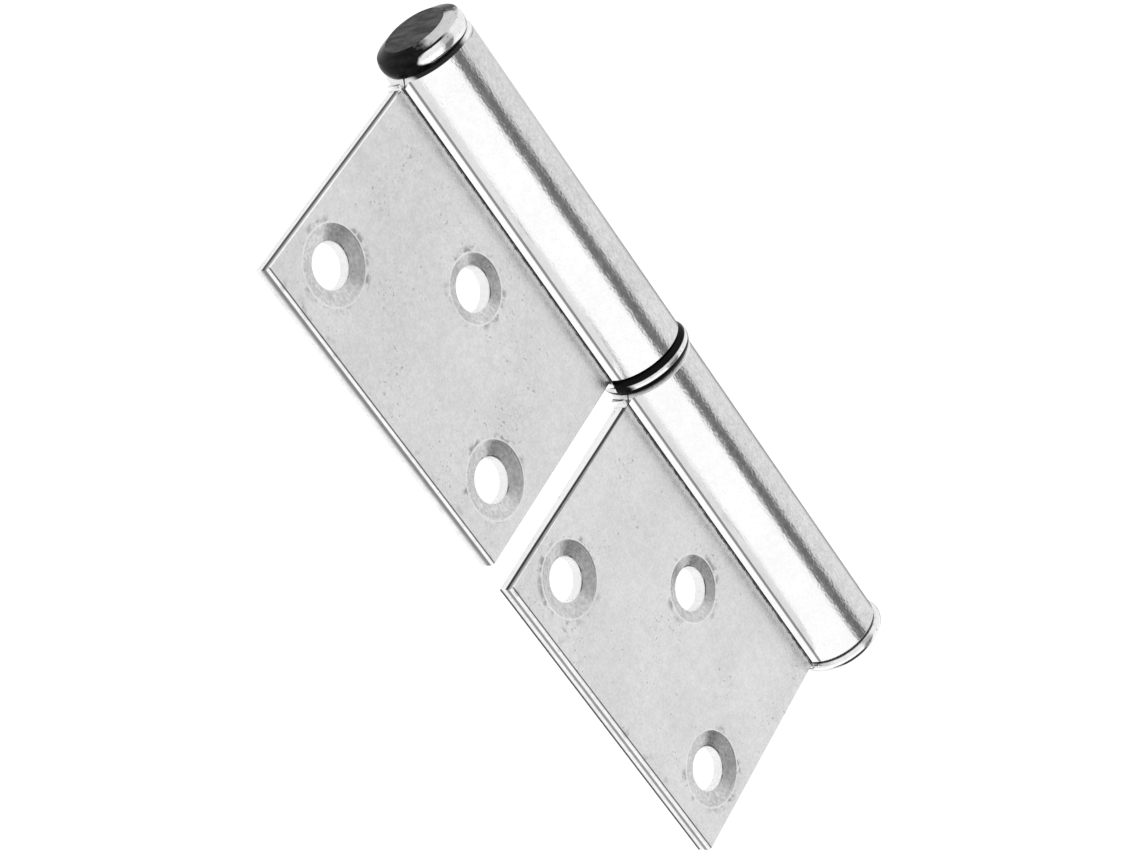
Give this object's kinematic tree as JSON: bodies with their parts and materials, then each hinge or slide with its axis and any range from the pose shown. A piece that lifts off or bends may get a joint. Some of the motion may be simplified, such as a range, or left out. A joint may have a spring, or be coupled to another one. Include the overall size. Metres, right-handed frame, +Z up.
{
  "type": "lift-off hinge",
  "caption": "Lift-off flag hinge of rolled zinc-plated sheet steel with countersunk screw holes: the upper leaf swings on a fixed pin over a loose bearing ring, and lifts off.",
  "frame": {"origin": "midway between the lower leaf's outer screw holes, on its back face", "axes": "+Z up the pin; -Y out of the countersunk front faces; the leaves reach from the pin towards -X"},
  "size_m": [0.0467, 0.0134, 0.1109],
  "materials": {
    "leaf_zinc": "bright zinc plate, fine mottle",
    "pin_steel": "bright zinc plate, turned",
    "ring_steel": "polished, bright zinc plate"
  },
  "bodies": {
    "fixed_leaf": {"lower_leaf": "leaf_zinc", "hinge_pin": "pin_steel"},
    "ring": {"bearing_ring": "ring_steel"},
    "lift_leaf": {"upper_leaf": "leaf_zinc", "top_plug": "pin_steel"}
  },
  "joints": [
    {"name": "swing", "type": "hinge", "parent": "fixed_leaf", "child": "ring", "pos_m": [0.0318, -0.0023, 0.02715], "axis": [0, 0, 1], "continuous": true},
    {"name": "lift_off", "type": "slide", "parent": "ring", "child": "lift_leaf", "axis": [0, 0, 1], "range_m": [0, 0.045]}
  ]
}
